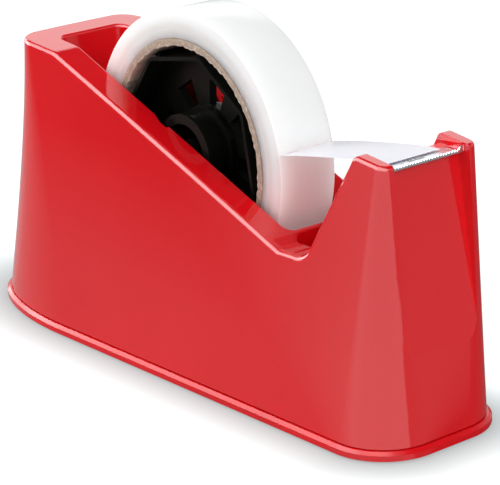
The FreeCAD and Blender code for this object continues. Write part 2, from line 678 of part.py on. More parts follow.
def radial_bar(width, inner, outer, step, y0, y1):
    """Bar along a radius of the wheel; step counts sides from the first flat."""
    bar = Part.makeBox(outer - inner, y1 - y0, width, Vector(AXLE_X + inner, y0, AXLE_Z - width / 2.0))
    angle = WHEEL_TURN + step * 360.0 / WHEEL_SIDES
    bar.rotate(Vector(AXLE_X, 0, AXLE_Z), Vector(0, -1, 0), angle)
    return bar


def wheel_grip(index, side):
    """Rib on one corner of the wheel that bears on the core's bore, set back from the rim's end."""
    reach = WHEEL_HALF - GRIP_SETBACK
    y0, y1 = (0.0, reach) if side > 0 else (-reach, 0.0)
    outer = CORE_BORE / 2.0 - GRIP_CLEARANCE
    bar = radial_bar(GRIP_WIDTH, WHEEL_APOTHEM, outer + GRIP_WIDTH, index + 0.5, y0, y1)
    return bar.common(cylinder_y(outer, y0, y1))


def cardboard_core():
    """Cardboard tube that the tape is wound on."""
    return ring_y(CORE_BORE / 2.0 + CORE_WALL, CORE_BORE / 2.0, -TAPE_HALF, TAPE_HALF)


def tape_roll():
    """Wound tape."""
    return ring_y(TAPE_DIAMETER / 2.0, CORE_BORE / 2.0 + CORE_WALL, -TAPE_HALF, TAPE_HALF)


def tape_strip():
    """Free end of the tape, peeled off the front of the roll and stuck along the blade."""
    angle = math.radians(STRIP_LEAVING_ANGLE)
    reach = TAPE_DIAMETER / 2.0 + STRIP_GAP
    x0 = AXLE_X + reach * math.cos(angle)
    z0 = AXLE_Z + reach * math.sin(angle)
    x1 = panel_top_x() - BLADE_DEPTH + STRIP_LAP
    z1 = PLATFORM_Z + BLADE_THICKNESS + STRIP_GAP
    middle_x = (x0 + x1) / 2.0
    middle_z = (z0 + z1) / 2.0 + STRIP_BOW
    up = Vector(0, 0, STRIP_THICKNESS)
    start = Vector(x0, -TAPE_HALF, z0)
    middle = Vector(middle_x, -TAPE_HALF, middle_z)
    stop = Vector(x1, -TAPE_HALF, z1)
    edges = [
        Part.Arc(start, middle, stop).toShape(),
        Part.makeLine(stop, stop + up),
        Part.Arc(stop + up, middle + up, start + up).toShape(),
        Part.makeLine(start + up, start),
    ]
    return Part.Face(Part.Wire(edges)).extrude(Vector(0, TAPE_WIDTH, 0))


def blade():
    """Toothed steel strip: tang, seat with a groove, upright teeth with an apron, and an ear at each end."""
    half = CUTTER_HALF - BLADE_END_GAP
    front = panel_top_x() + BLADE_OVERHANG
    rear = panel_top_x() - BLADE_DEPTH
    thick = BLADE_THICKNESS
    inner = front - thick
    z0 = PLATFORM_Z
    side = [
        (rear, z0 - BLADE_TANG, 0),
        (rear + thick, z0 - BLADE_TANG, 0),
        (rear + thick, z0, 0),
        (inner, z0, 0),
        (inner, z0 - BLADE_APRON, 0),
        (front, z0 - BLADE_APRON, 0),
        (front, z0 + TOOTH_TOP, 0),
        (inner, z0 + TOOTH_TOP, 0),
        (inner, z0 + thick, 0),
        (rear, z0 + thick, thick / 2.0),
    ]
    strip = bar_along_y(side, half).cut(tooth_gaps(inner, half))
    for y in (-half, half - thick):
        ear = Part.makeBox(BLADE_EAR_LENGTH, thick, BLADE_EAR_HEIGHT, Vector(front - BLADE_EAR_LENGTH, y, z0))
        strip = strip.fuse(ear)
    groove = Part.makeBox(
        BLADE_GROOVE_WIDTH,
        BLADE_GROOVE_LENGTH,
        2.0 * thick,
        Vector(front - BLADE_GROOVE_SETBACK - BLADE_GROOVE_WIDTH, -BLADE_GROOVE_LENGTH / 2.0, z0),
    )
    return strip.cut(groove).removeSplitter()


def tooth_gaps(inner, half):
    """Notches between the upright teeth, evenly spaced along the cutting edge."""
    pitch = 2.0 * half / TOOTH_COUNT
    root_z = PLATFORM_Z + TOOTH_TOP - TOOTH_DEPTH
    gaps = []
    for i in range(1, TOOTH_COUNT):
        y = -half + i * pitch
        points = [
            Vector(inner, y, root_z),
            Vector(inner, y - pitch, root_z + 2.0 * TOOTH_DEPTH),
            Vector(inner, y + pitch, root_z + 2.0 * TOOTH_DEPTH),
            Vector(inner, y, root_z),
        ]
        gaps.append(Part.Face(Part.makePolygon(points)).extrude(Vector(BLADE_THICKNESS, 0, 0)))
    return gaps


def blade_slot():
    """Slot in the platform for the blade's tang."""
    rear = panel_top_x() - BLADE_DEPTH
    gap = BLADE_SEAT_CLEARANCE
    return Part.makeBox(
        BLADE_THICKNESS + 2.0 * gap,
        CUTTER_GAP_WIDTH,
        BLADE_TANG + gap,
        Vector(rear - gap, -CUTTER_HALF, PLATFORM_Z - BLADE_TANG - gap),
    )


def write(name, shape):
    """Save one piece as a STEP file."""
    shape.exportStep("parts/" + name + ".step")


os.makedirs("parts", exist_ok=True)
write("housing", housing())
write("base_plate", base_plate())
write("non_slip_pad", non_slip_pad())
write("base_screws", base_screws())
write("floor_weight", floor_weight())
write("tower_weight", tower_weight())
write("cutter_blade", blade())
write("axle", axle())
write("small_core_spool", small_core_spool())
write("retaining_collars", retaining_collars())
write("wheel_half_left", wheel_half(1))
write("wheel_half_right", wheel_half(-1))
write("cardboard_core", cardboard_core())
write("tape_roll", tape_roll())
write("tape_strip", tape_strip())
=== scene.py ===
import math

import bmesh
import bpy
from mathutils import Matrix, Vector


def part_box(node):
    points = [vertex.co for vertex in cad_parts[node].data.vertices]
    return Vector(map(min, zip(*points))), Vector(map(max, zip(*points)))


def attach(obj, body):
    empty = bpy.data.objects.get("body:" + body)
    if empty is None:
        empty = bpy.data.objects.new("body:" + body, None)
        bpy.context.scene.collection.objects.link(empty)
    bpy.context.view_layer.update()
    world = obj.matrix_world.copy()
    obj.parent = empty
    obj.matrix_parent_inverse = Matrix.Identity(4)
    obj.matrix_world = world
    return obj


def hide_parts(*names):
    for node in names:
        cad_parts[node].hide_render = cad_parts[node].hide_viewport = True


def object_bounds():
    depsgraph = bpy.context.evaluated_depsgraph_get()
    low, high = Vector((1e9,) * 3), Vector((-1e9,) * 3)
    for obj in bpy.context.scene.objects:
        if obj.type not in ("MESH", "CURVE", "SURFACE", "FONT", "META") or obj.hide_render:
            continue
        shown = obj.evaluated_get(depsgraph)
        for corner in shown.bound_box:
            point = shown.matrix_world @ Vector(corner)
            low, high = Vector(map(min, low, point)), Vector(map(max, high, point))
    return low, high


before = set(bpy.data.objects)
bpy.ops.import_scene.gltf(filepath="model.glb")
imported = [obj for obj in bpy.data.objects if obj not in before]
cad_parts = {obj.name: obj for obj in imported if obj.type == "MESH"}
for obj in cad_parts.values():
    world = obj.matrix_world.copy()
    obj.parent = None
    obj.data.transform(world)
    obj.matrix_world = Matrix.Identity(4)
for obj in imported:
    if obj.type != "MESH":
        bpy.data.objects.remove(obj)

cad_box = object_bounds()

# Camera: it looks down on the dispenser from the right of its cutter end, with a long lens.
# Its place and tilt are the photograph's: 50 degrees round from the side, 19 degrees up.
CAMERA_PLACE = Vector((0.64355, -0.5175, 0.3222))
CAMERA_TURN = math.radians(50.33)
CAMERA_RISE = math.radians(18.74)
CAMERA_ROLL = math.radians(1.76)
CAMERA_LENS = 173.5
SENSOR_WIDTH = 36.0

back = Vector((
    math.sin(CAMERA_TURN) * math.cos(CAMERA_RISE),
    -math.cos(CAMERA_TURN) * math.cos(CAMERA_RISE),
    math.sin(CAMERA_RISE),
))
level_right = Vector((math.cos(CAMERA_TURN), math.sin(CAMERA_TURN), 0.0))
level_up = back.cross(level_right)
image_right = level_right * math.cos(CAMERA_ROLL) - level_up * math.sin(CAMERA_ROLL)
image_up = level_right * math.sin(CAMERA_ROLL) + level_up * math.cos(CAMERA_ROLL)
camera_data = bpy.data.cameras.new("camera")
camera_data.lens = CAMERA_LENS
camera_data.sensor_width = SENSOR_WIDTH
camera_data.sensor_fit = "HORIZONTAL"
camera = bpy.data.objects.new("camera", camera_data)
camera_axes = Matrix((image_right, image_up, back)).transposed().to_4x4()
camera.matrix_world = Matrix.Translation(CAMERA_PLACE) @ camera_axes
bpy.context.scene.collection.objects.link(camera)
bpy.context.scene.camera = camera
bpy.context.scene.view_settings.view_transform = "Standard"


# Housing: one moulding in high-gloss red plastic, with a polished tool finish and no texture.
# The gloss carries a faint ripple from the moulding and a few hairline marks from use.
class Wire:
    """A shader value that takes part in plain arithmetic."""

    def __init__(self, wiring, socket):
        self.wiring = wiring
        self.socket = socket

    def __add__(self, other):
        return self.wiring.maths("ADD", self, other)

    def __radd__(self, other):
        return self.wiring.maths("ADD", other, self)

    def __sub__(self, other):
        return self.wiring.maths("SUBTRACT", self, other)

    def __rsub__(self, other):
        return self.wiring.maths("SUBTRACT", other, self)

    def __mul__(self, other):
        return self.wiring.maths("MULTIPLY", self, other)

    def __rmul__(self, other):
        return self.wiring.maths("MULTIPLY", other, self)

    def __pow__(self, other):
        return self.wiring.maths("POWER", self, other)


class Wiring:
    """The nodes of one shader tree; an input is a plain value or another node's wire."""

    def __init__(self, tree):
        self.tree = tree

    def node(self, kind, settings=None, inputs=None, out=0):
        made = self.tree.nodes.new(kind)
        for key, value in (settings or {}).items():
            setattr(made, key, value)
        for key, value in (inputs or {}).items():
            self.feed(made.inputs[key], value)
        return Wire(self, made.outputs[out])

    def feed(self, socket, value):
        if isinstance(value, Wire):
            self.tree.links.new(value.socket, socket)
        else:
            socket.default_value = value

    def maths(self, operation, first, second=0.0):
        return self.node("ShaderNodeMath", {"operation": operation}, {0: first, 1: second})

    def axis(self, name, place):
        """One coordinate of a place, in metres."""
        return self.node("ShaderNodeSeparateXYZ", {}, {"Vector": place}, out=name)

    def ramp(self, value, low, high):
        """Share that goes from 0 at low to 1 at high."""
        inputs = {0: value, 1: low, 2: high, 3: 0.0, 4: 1.0}
        return self.node("ShaderNodeMapRange", {"clamp": True}, inputs)

    def blend(self, share, first, second):
        """The first shader where the share is 0, and the second where it is 1."""
        return self.node("ShaderNodeMixShader", {}, {0: share, 1: first, 2: second})


class Finish(Wiring):
    """A surface finish: one Principled shader and the nodes that feed it."""

    def __init__(self, name, **constants):
        self.material = bpy.data.materials.new(name)
        self.material.use_nodes = True
        super().__init__(self.material.node_tree)
        self.shader = self.tree.nodes["Principled BSDF"]
        for socket, value in constants.items():
            self.shader.inputs[socket.replace("_", " ")].default_value = value
        self.place = self.node("ShaderNodeTexCoord", out="Object")

    def drive(self, name, value):
        """Feeds one of the shader's own sockets."""
        self.feed(self.shader.inputs[name], value)

    def noise(self, scale, detail=3.0, roughness=0.5, stretch=None):
        """Cloudy pattern; a small stretch along an axis draws it out into lines."""
        place = self.place
        if stretch:
            place = self.node("ShaderNodeMapping", {}, {"Vector": place, "Scale": stretch})
        inputs = {"Vector": place, "Scale": scale, "Detail": detail, "Roughness": roughness}
        return self.node("ShaderNodeTexNoise", {}, inputs)

    def mix(self, colour_a, colour_b, share):
        """The first colour where the share is 0, and the second where it is 1."""
        inputs = {0: share, 6: colour_a, 7: colour_b}
        return self.node("ShaderNodeMix", {"data_type": "RGBA"}, inputs, out=2)

    def bump(self, pattern, strength, height):
        """Relief of the pattern, with its full height in metres."""
        inputs = {"Height": pattern, "Strength": strength, "Distance": height}
        self.drive("Normal", self.node("ShaderNodeBump", {}, inputs))


def paint(red, green, blue):
    """Linear colour of a screen colour given in steps of 255."""
    linear = []
    for step in (red, green, blue):
        share = step / 255.0
        linear.append(share / 12.92 if share <= 0.04045 else ((share + 0.055) / 1.055) ** 2.4)
    return (*linear, 1.0)


def dress(node_name, finish):
    """Gives a part of the frame its finish."""
    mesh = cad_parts[node_name].data
    mesh.materials.clear()
    mesh.materials.append(finish.material)


RED = paint(214, 14, 24)
RED_WARM = paint(219, 20, 28)
RED_DEEP = paint(202, 8, 22)
RED_ROUGHNESS = 0.07
HAIRLINES_ALONG = (0.06, 0.9, 1.0)
GLOSS_RIPPLE = 0.0004

red_gloss = Finish("red_gloss_plastic", IOR=1.58)
drift = red_gloss.noise(scale=14.0, detail=2.0)
grain = red_gloss.noise(scale=900.0, detail=2.0)
hairlines = red_gloss.noise(scale=420.0, detail=4.0, roughness=0.6, stretch=HAIRLINES_ALONG)
red_colour = red_gloss.mix(RED, RED_WARM, red_gloss.ramp(drift, 0.35, 0.7))
red_colour = red_gloss.mix(red_colour, RED_DEEP, red_gloss.ramp(grain, 0.55, 0.9) * 0.25)
red_gloss.drive("Base Color", red_colour)
scuffs = red_gloss.ramp(hairlines, 0.62, 0.72)
duller = red_gloss.ramp(drift, 0.3, 0.8)
red_gloss.drive("Roughness", RED_ROUGHNESS + duller * 0.04 + scuffs * 0.07)
ripple = red_gloss.noise(scale=70.0, detail=1.0)
red_gloss.bump(ripple + hairlines * 0.03, strength=0.05, height=GLOSS_RIPPLE)
dress("housing", red_gloss)

# Base plate: a flanged moulding of the same red, seen as the foot rim below the parting line.
# Its edge has been handled and slid on desks, so it is a little duller than the housing.
RIM_ROUGHNESS = 0.14
MARKS_ALONG = (0.08, 0.08, 1.0)
RIM_RELIEF = 0.0003

rim_red = Finish("red_rim_plastic", Specular_IOR_Level=0.34)
rim_drift = rim_red.noise(scale=40.0, detail=4.0)
rim_marks = rim_red.noise(scale=500.0, detail=4.0, roughness=0.6, stretch=MARKS_ALONG)
rim_red.drive("Base Color", rim_red.mix(RED, RED_DEEP, rim_red.ramp(rim_drift, 0.4, 0.7)))
rim_red.drive("Roughness", RIM_ROUGHNESS + rim_red.ramp(rim_marks, 0.5, 0.7) * 0.14)
rim_red.bump(rim_marks, strength=0.06, height=RIM_RELIEF)
dress("base_plate", rim_red)

# Non-slip pad: a die-cut sheet of black foam rubber, glued into the recess of the base plate.
# Its skin has open pores and picks up dust.
FOAM_BLACK = paint(34, 33, 33)
FOAM_DUSTY = paint(66, 63, 60)
FOAM_ROUGHNESS = 0.82
PORES_PER_METRE = 1600.0
PORE_DEPTH = 0.0004

foam = Finish("foam_rubber", Specular_IOR_Level=0.25)
pores = foam.node("ShaderNodeTexVoronoi", {}, {"Vector": foam.place, "Scale": PORES_PER_METRE})
dust = foam.noise(scale=60.0, detail=5.0, roughness=0.65)
foam.drive("Base Color", foam.mix(FOAM_BLACK, FOAM_DUSTY, foam.ramp(dust, 0.45, 0.8) * 0.6))
foam.drive("Roughness", FOAM_ROUGHNESS + foam.ramp(dust, 0.3, 0.7) * 0.1)
foam.bump(pores, strength=0.5, height=PORE_DEPTH)
dress("non_slip_pad", foam)

# Ballast: two grey iron castings that sit on the base plate, left as they leave the sand.
# They give the dispenser the weight that keeps it still while the tape is pulled.
IRON = paint(74, 72, 70)
IRON_RUST = paint(96, 70, 54)
IRON_ROUGHNESS = 0.55
SAND_GRAIN = 0.0006

iron = Finish("cast_iron", Metallic=0.75)
sand = iron.noise(scale=700.0, detail=6.0, roughness=0.7)
bloom = iron.noise(scale=45.0, detail=4.0, roughness=0.6)
iron.drive("Base Color", iron.mix(IRON, IRON_RUST, iron.ramp(bloom, 0.55, 0.75) * 0.5))
iron.drive("Roughness", IRON_ROUGHNESS + sand * 0.3)
iron.bump(sand, strength=0.6, height=SAND_GRAIN)
dress("floor_weight", iron)
dress("tower_weight", iron)

# Screws: zinc-plated pan heads, driven from below into the housing's bosses.
# The plating is bright with a faint cloudy passivation.
ZINC = paint(176, 178, 182)
ZINC_CLOUD = paint(150, 150, 146)
ZINC_ROUGHNESS = 0.24
PLATING_RELIEF = 0.0002

zinc = Finish("zinc_plate", Metallic=1.0)
cloud = zinc.noise(scale=350.0, detail=3.0)
zinc.drive("Base Color", zinc.mix(ZINC, ZINC_CLOUD, cloud))
zinc.drive("Roughness", ZINC_ROUGHNESS + cloud * 0.16)
zinc.bump(cloud, strength=0.05, height=PLATING_RELIEF)
dress("base_screws", zinc)

# Blade: one bright rolled steel strip, bent down behind and up in front, with a short groove on top.
# Its front edge is cut into fine teeth, and its two ends are turned up as small ears.
# Rolling lines run along it, the groove is painted dark as shade, and dried adhesive dulls patches by
# the teeth.
blade_low, blade_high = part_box("cutter_blade")
BLADE_SHEET = 0.0004
BLADE_COLUMNS = 104
BLADE_TEETH = 26
TOOTH_HEIGHT = 0.0007
EAR_REACH = 0.0014
EAR_TOP = 0.00585
EAR_CURVE = 0.6
BLADE_SMOOTH = math.radians(35.0)
TOP_HEIGHT = 0.00332
GROOVE_FLOOR = 0.00308
GROOVE_REAR = 0.0035
GROOVE_FRONT = 0.0044
GROOVE_SLOPE = 0.0001
GROOVE_HALF = 0.0037
GROOVE_SHADE_HIGH = 0.0035
GROOVE_SHADE_LOW = 0.0033
STEEL_ROUGHNESS = 0.2
ROLLING_LINES_ALONG = (1.0, 0.03, 1.0)
ROLLING_RELIEF = 0.0002
STEEL = paint(206, 210, 214)
STEEL_DULL = paint(158, 164, 166)
GROOVE_PAINTED_SHADE = paint(52, 56, 60)

# The sheet's outline from its rear foot to its teeth, as steps forward and up from the box's low corner.
BLADE_ROWS = (
    (0.0003, 0.0001),
    (0.0003, 0.003),
    (0.00042, 0.00323),
    (0.0007, TOP_HEIGHT),
    (GROOVE_REAR, TOP_HEIGHT),
    (GROOVE_REAR + GROOVE_SLOPE, GROOVE_FLOOR),
    (GROOVE_FRONT - GROOVE_SLOPE, GROOVE_FLOOR),
    (GROOVE_FRONT, TOP_HEIGHT),
    (0.0077, TOP_HEIGHT),
    (0.0081, 0.00336),
    (0.00832, 0.00358),
    (0.00836, 0.0041),
    (0.00836, 0.0048),
)
LAST_ROW = len(BLADE_ROWS) - 1

bpy.ops.object.select_all(action="DESELECT")
bpy.ops.mesh.primitive_grid_add(
    x_subdivisions=LAST_ROW, y_subdivisions=BLADE_COLUMNS, size=1.0, location=(0.0, 0.0, 0.0)
)
fine_blade = bpy.context.object
fine_blade.name = "fine_blade"
blade_half = (blade_high.y - blade_low.y - BLADE_SHEET) / 2.0
for vertex in fine_blade.data.vertices:
    row = round((vertex.co.x + 0.5) * LAST_ROW)
    share = vertex.co.y + 0.5
    forward, up = BLADE_ROWS[row]
    side = (share * 2.0 - 1.0) * blade_half
    if up == GROOVE_FLOOR and abs(side) > GROOVE_HALF:
        up = TOP_HEIGHT
    if row == LAST_ROW:
        tooth = abs((share * BLADE_TEETH) % 1.0 * 2.0 - 1.0)
        ear = max(0.0, 1.0 - (blade_half - abs(side)) / EAR_REACH) ** EAR_CURVE
        toothed = up - TOOTH_HEIGHT * tooth
        up = max(toothed, up + (EAR_TOP - up) * ear) if ear else toothed
    vertex.co = (blade_low.x + forward, side, blade_low.z + up)
sheet = fine_blade.modifiers.new("sheet", "SOLIDIFY")
sheet.thickness = BLADE_SHEET
sheet.offset = 0.0
bpy.ops.object.modifier_apply(modifier="sheet")
bpy.ops.object.shade_smooth_by_angle(angle=BLADE_SMOOTH)

steel = Finish("blade_steel", Metallic=1.0)
rolling = steel.noise(scale=1500.0, detail=3.0, roughness=0.6, stretch=ROLLING_LINES_ALONG)
gum = steel.noise(scale=260.0, detail=4.0, roughness=0.65)
steel_up = steel.axis("Z", steel.place) - blade_low.z
steel_forward = steel.axis("X", steel.place) - blade_low.x
past_rear = steel.ramp(steel_forward, GROOVE_REAR, GROOVE_REAR + GROOVE_SLOPE)
before_front = steel.ramp(steel_forward, GROOVE_FRONT, GROOVE_FRONT - GROOVE_SLOPE)
# Painted shade: the groove's floor is coloured dark, where shade falls inside it.
groove_shade_share = steel.ramp(steel_up, GROOVE_SHADE_HIGH, GROOVE_SHADE_LOW) * past_rear * before_front
steel_colour = steel.mix(STEEL, STEEL_DULL, steel.ramp(gum, 0.5, 0.75) * 0.8)
steel.drive("Base Color", steel.mix(steel_colour, GROOVE_PAINTED_SHADE, groove_shade_share))
steel.drive("Roughness", STEEL_ROUGHNESS + rolling * 0.14 + steel.ramp(gum, 0.5, 0.7) * 0.16)
steel.bump(rolling, strength=0.12, height=ROLLING_RELIEF)
fine_blade.data.materials.append(steel.material)
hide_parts("cutter_blade")
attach(fine_blade, "stand")

# Axle: a cut length of drawn steel rod whose ends rest in the two slots.
# The drawing leaves lines round it, and the ends have a small chamfer.
ROD = paint(168, 168, 170)
ROD_DARK = paint(120, 120, 124)
ROD_ROUGHNESS = 0.26
DRAWING_LINES_ALONG = (1.0, 0.04, 1.0)
DRAWING_RELIEF = 0.0002

rod = Finish("drawn_rod", Metallic=1.0)
drawing = rod.noise(scale=1200.0, detail=3.0, roughness=0.6, stretch=DRAWING_LINES_ALONG)
rod.drive("Base Color", rod.mix(ROD, ROD_DARK, drawing))
rod.drive("Roughness", ROD_ROUGHNESS + drawing * 0.18)
rod.bump(drawing, strength=0.1, height=DRAWING_RELIEF)
dress("axle", rod)

# Hub: the spool, its two collars and the two halves of the wheel are semi-gloss black plastic.
# The moulding shows a soft flow pattern, and paper dust from cores greys it slightly.
HUB_BLACK = paint(14, 15, 13)
HUB_GREY = paint(30, 31, 28)
HUB_ROUGHNESS = 0.26
HUB_RELIEF = 0.0002

hub_black = Finish("black_hub_plastic", Specular_IOR_Level=0.05)
flow = hub_black.noise(scale=60.0, detail=3.0)
speck = hub_black.noise(scale=1400.0, detail=3.0, roughness=0.6)
dusty = hub_black.ramp(speck, 0.55, 0.8) * 0.5
hub_black.drive("Base Color", hub_black.mix(HUB_BLACK, HUB_GREY, dusty))
flow_marks = hub_black.ramp(flow, 0.3, 0.7) * 0.1
dust_marks = hub_black.ramp(speck, 0.5, 0.8) * 0.08
hub_black.drive("Roughness", HUB_ROUGHNESS + flow_marks + dust_marks)
hub_black.bump(speck, strength=0.08, height=HUB_RELIEF)
for hub_part in ("small_core_spool", "retaining_collars", "wheel_half_left", "wheel_half_right"):
    dress(hub_part, hub_black)

# Tape roll: clear film wound on the core until it looks milky, seen edge-on at its sides.
# The sides show the layers as fine rings. The outer turn is smooth and has a faint painted glow,
# standing in for light through the film.
roll_low, roll_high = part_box("tape_roll")
core_low, core_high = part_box("cardboard_core")
ROLL_CENTRE = (roll_low + roll_high) / 2.0
ROLL_RADIUS = (roll_high.x - roll_low.x) / 2.0
ROLL_WIDTH = roll_high.y - roll_low.y
CORE_RADIUS = (core_high.x - core_low.x) / 2.0
ROLL_SEGMENTS = 192
ROLL_EDGE = 0.0005
EDGE_SEGMENTS = 3
ROLL_SMOOTH = math.radians(40.0)
END_FACING = 0.9
SAME_PLACE = 0.00001
FILM_ROUGHNESS = 0.16
LAYER_RELIEF = 0.00024
FILM = paint(246, 249, 247)
FILM_WARM = paint(234, 230, 224)
FILM_LINE = paint(232, 234, 231)
FILM_CLEAR = paint(232, 238, 235)
WHITE = paint(255, 255, 255)
DARK = paint(0, 0, 0)
OUTER_TURN_PAINTED_GLOW = 0.14


def off_axle(point):
    """Distance of a point from the axle's line."""
    return math.hypot(point.x - ROLL_CENTRE.x, point.z - ROLL_CENTRE.z)


def pick(piece, kind, test):
    """Selects the faces or edges of the piece in edit mode that pass the test."""
    bpy.ops.mesh.select_mode(type=kind)
    bpy.ops.mesh.select_all(action="DESELECT")
    shape = bmesh.from_edit_mesh(piece.data)
    for element in (shape.faces if kind == "FACE" else shape.edges):
        element.select = test(element)
    shape.select_flush_mode()
    bmesh.update_edit_mesh(piece.data)


def is_end_edge(edge, width):
    """True for the round edges at the two ends of a ring."""
    first, second = (corner.co for corner in edge.verts)
    at_end = all(abs(abs(spot.y) - width / 2.0) < SAME_PLACE for spot in (first, second))
    return at_end and abs(off_axle(first) - off_axle(second)) < SAME_PLACE


def wound_ring(name, outer, inner, width, edge):
    """Ring round the axle, from a cylinder whose ends are inset, opened and joined."""
    bpy.ops.object.select_all(action="DESELECT")
    bpy.ops.mesh.primitive_cylinder_add(
        vertices=ROLL_SEGMENTS, radius=outer, depth=width,
        location=ROLL_CENTRE, rotation=(math.pi / 2.0, 0.0, 0.0),
    )
    ring = bpy.context.object
    ring.name = name
    bpy.ops.object.transform_apply(location=True, rotation=True, scale=True)
    bpy.ops.object.mode_set(mode="EDIT")
    pick(ring, "FACE", lambda face: abs(face.normal.y) > END_FACING)
    bpy.ops.mesh.inset(thickness=outer - inner, use_even_offset=True)
    bpy.ops.mesh.delete(type="FACE")
    pick(ring, "EDGE", lambda rim: rim.is_boundary)
    bpy.ops.mesh.bridge_edge_loops()
    pick(ring, "EDGE", lambda rim: is_end_edge(rim, width))
    bpy.ops.mesh.bevel(offset=edge, segments=EDGE_SEGMENTS, affect="EDGES")
    bpy.ops.mesh.select_all(action="SELECT")
    bpy.ops.mesh.normals_make_consistent(inside=False)
    bpy.ops.object.mode_set(mode="OBJECT")
    bpy.ops.object.shade_smooth_by_angle(angle=ROLL_SMOOTH)
    return ring


def from_axle(finish):
    """Distance from the axle's line, as a shader value in metres."""
    to_axle = (-ROLL_CENTRE.x, 0.0, -ROLL_CENTRE.z)
    inputs = {"Vector": finish.place, "Location": to_axle, "Scale": (1.0, 0.0, 1.0)}
    centred = finish.node("ShaderNodeMapping", {}, inputs)
    return finish.node("ShaderNodeVectorMath", {"operation": "LENGTH"}, {0: centred}, out="Value")


def rings(finish, distance, scale, detail):
    """Pattern of rings round the axle, for wound or rolled layers."""
    inputs = {"W": distance, "Scale": scale, "Detail": detail}
    return finish.node("ShaderNodeTexNoise", {"noise_dimensions": "1D"}, inputs)


wound_tape = wound_ring("wound_tape", ROLL_RADIUS, CORE_RADIUS, ROLL_WIDTH, ROLL_EDGE)

wound_film = Finish(
    "wound_tape_film", IOR=1.47, Specular_IOR_Level=0.2, Coat_Weight=0.06, Coat_Roughness=0.08,
    Subsurface_Weight=0.9, Subsurface_Radius=(1.0, 0.95, 0.9), Subsurface_Scale=0.02,
    Emission_Strength=OUTER_TURN_PAINTED_GLOW,
)
film_radius = from_axle(wound_film)
layers = rings(wound_film, film_radius, scale=2600.0, detail=3.0)
bands = rings(wound_film, film_radius, scale=300.0, detail=2.0)
haze = wound_film.noise(scale=30.0, detail=3.0)
outer_turn = wound_film.ramp(film_radius, ROLL_RADIUS - ROLL_EDGE, ROLL_RADIUS - ROLL_EDGE * 0.3)
film_colour = wound_film.mix(FILM, FILM_WARM, wound_film.ramp(bands, 0.35, 0.75) * 0.6)
film_colour = wound_film.mix(film_colour, FILM_LINE, wound_film.ramp(layers, 0.5, 0.8) * 0.7)
film_colour = wound_film.mix(film_colour, FILM_WARM, wound_film.ramp(haze, 0.5, 0.8) * 0.3)
wound_film.drive("Base Color", wound_film.mix(film_colour, FILM_CLEAR, outer_turn * 0.8))
# Painted light: the outer turn glows faintly white, standing in for light through the roll.
wound_film.drive("Emission Color", wound_film.mix(DARK, WHITE, outer_turn))
wound_film.drive("Roughness", FILM_ROUGHNESS + wound_film.ramp(layers, 0.4, 0.8) * 0.16)
wound_film.bump(layers, strength=0.25, height=LAYER_RELIEF)
wound_tape.data.materials.append(wound_film.material)
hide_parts("tape_roll")
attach(wound_tape, "roll")

# Core: spiral-wound grey-brown board, cut to width with a knife that leaves a torn inner edge.
# The plies show as rings on the cut ends, and fibres stand proud along the bore.
CORE_WALL = 0.003
CORE_BORE = CORE_RADIUS - CORE_WALL
CORE_EDGE = 0.00025
CORE_PLAY = 0.00005
TEAR_DEPTH = 0.0007
TEAR_TURN_PER_METRE = 400.0
TORN_RADIUS = CORE_BORE + TEAR_DEPTH
TORN_BAND = CORE_EDGE * 1.2
PALE_FULL = CORE_BORE + 0.0003
PALE_END = CORE_BORE + 0.0009
BOARD_ROUGHNESS = 0.78
FIBRE_RELIEF = 0.0004
BOARD = paint(168, 150, 134)
BOARD_PALE = paint(214, 202, 188)
BOARD_DARK = paint(128, 108, 92)

# Waves that add up to the torn edge, each with its count round the bore, its start and its size.
TEAR_WAVES = ((17.0, 0.4, 0.35), (41.0, 1.7, 0.4), (73.0, 0.9, 0.35), (89.0, 2.6, 0.3))

paper_core = wound_ring("paper_core", CORE_RADIUS - CORE_PLAY, TORN_RADIUS, ROLL_WIDTH, CORE_EDGE)
for vertex in paper_core.data.vertices:
    spot = vertex.co
    reach = off_axle(spot)
    if reach > TORN_RADIUS + TORN_BAND:
        continue
    angle = math.atan2(spot.z - ROLL_CENTRE.z, spot.x - ROLL_CENTRE.x)
    slant = spot.y * TEAR_TURN_PER_METRE
    tear = sum(size * math.sin(count * angle + start + slant) for count, start, size in TEAR_WAVES)
    inward = TEAR_DEPTH * min(1.0, max(0.0, 0.5 + tear * 0.5))
    scale = (reach - inward) / reach
    spot.x = ROLL_CENTRE.x + (spot.x - ROLL_CENTRE.x) * scale
    spot.z = ROLL_CENTRE.z + (spot.z - ROLL_CENTRE.z) * scale

board = Finish("core_board", Specular_IOR_Level=0.2)
board_radius = from_axle(board)
plies = rings(board, board_radius, scale=1500.0, detail=2.0)
fibre = board.noise(scale=700.0, detail=4.0, roughness=0.7)
inner_edge = board.ramp(board_radius, PALE_END, PALE_FULL)
board_colour = board.mix(BOARD, BOARD_DARK, board.ramp(plies, 0.45, 0.75) * 0.5)
board_colour = board.mix(board_colour, BOARD_PALE, inner_edge * 0.8)
board_colour = board.mix(board_colour, BOARD_PALE, board.ramp(fibre, 0.5, 0.68) * 0.7)
board.drive("Base Color", board_colour)
board.drive("Roughness", BOARD_ROUGHNESS + fibre * 0.16)
board.bump(fibre + plies * 0.5, strength=0.5, height=FIBRE_RELIEF)
paper_core.data.materials.append(board.material)
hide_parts("cardboard_core")
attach(paper_core, "roll")

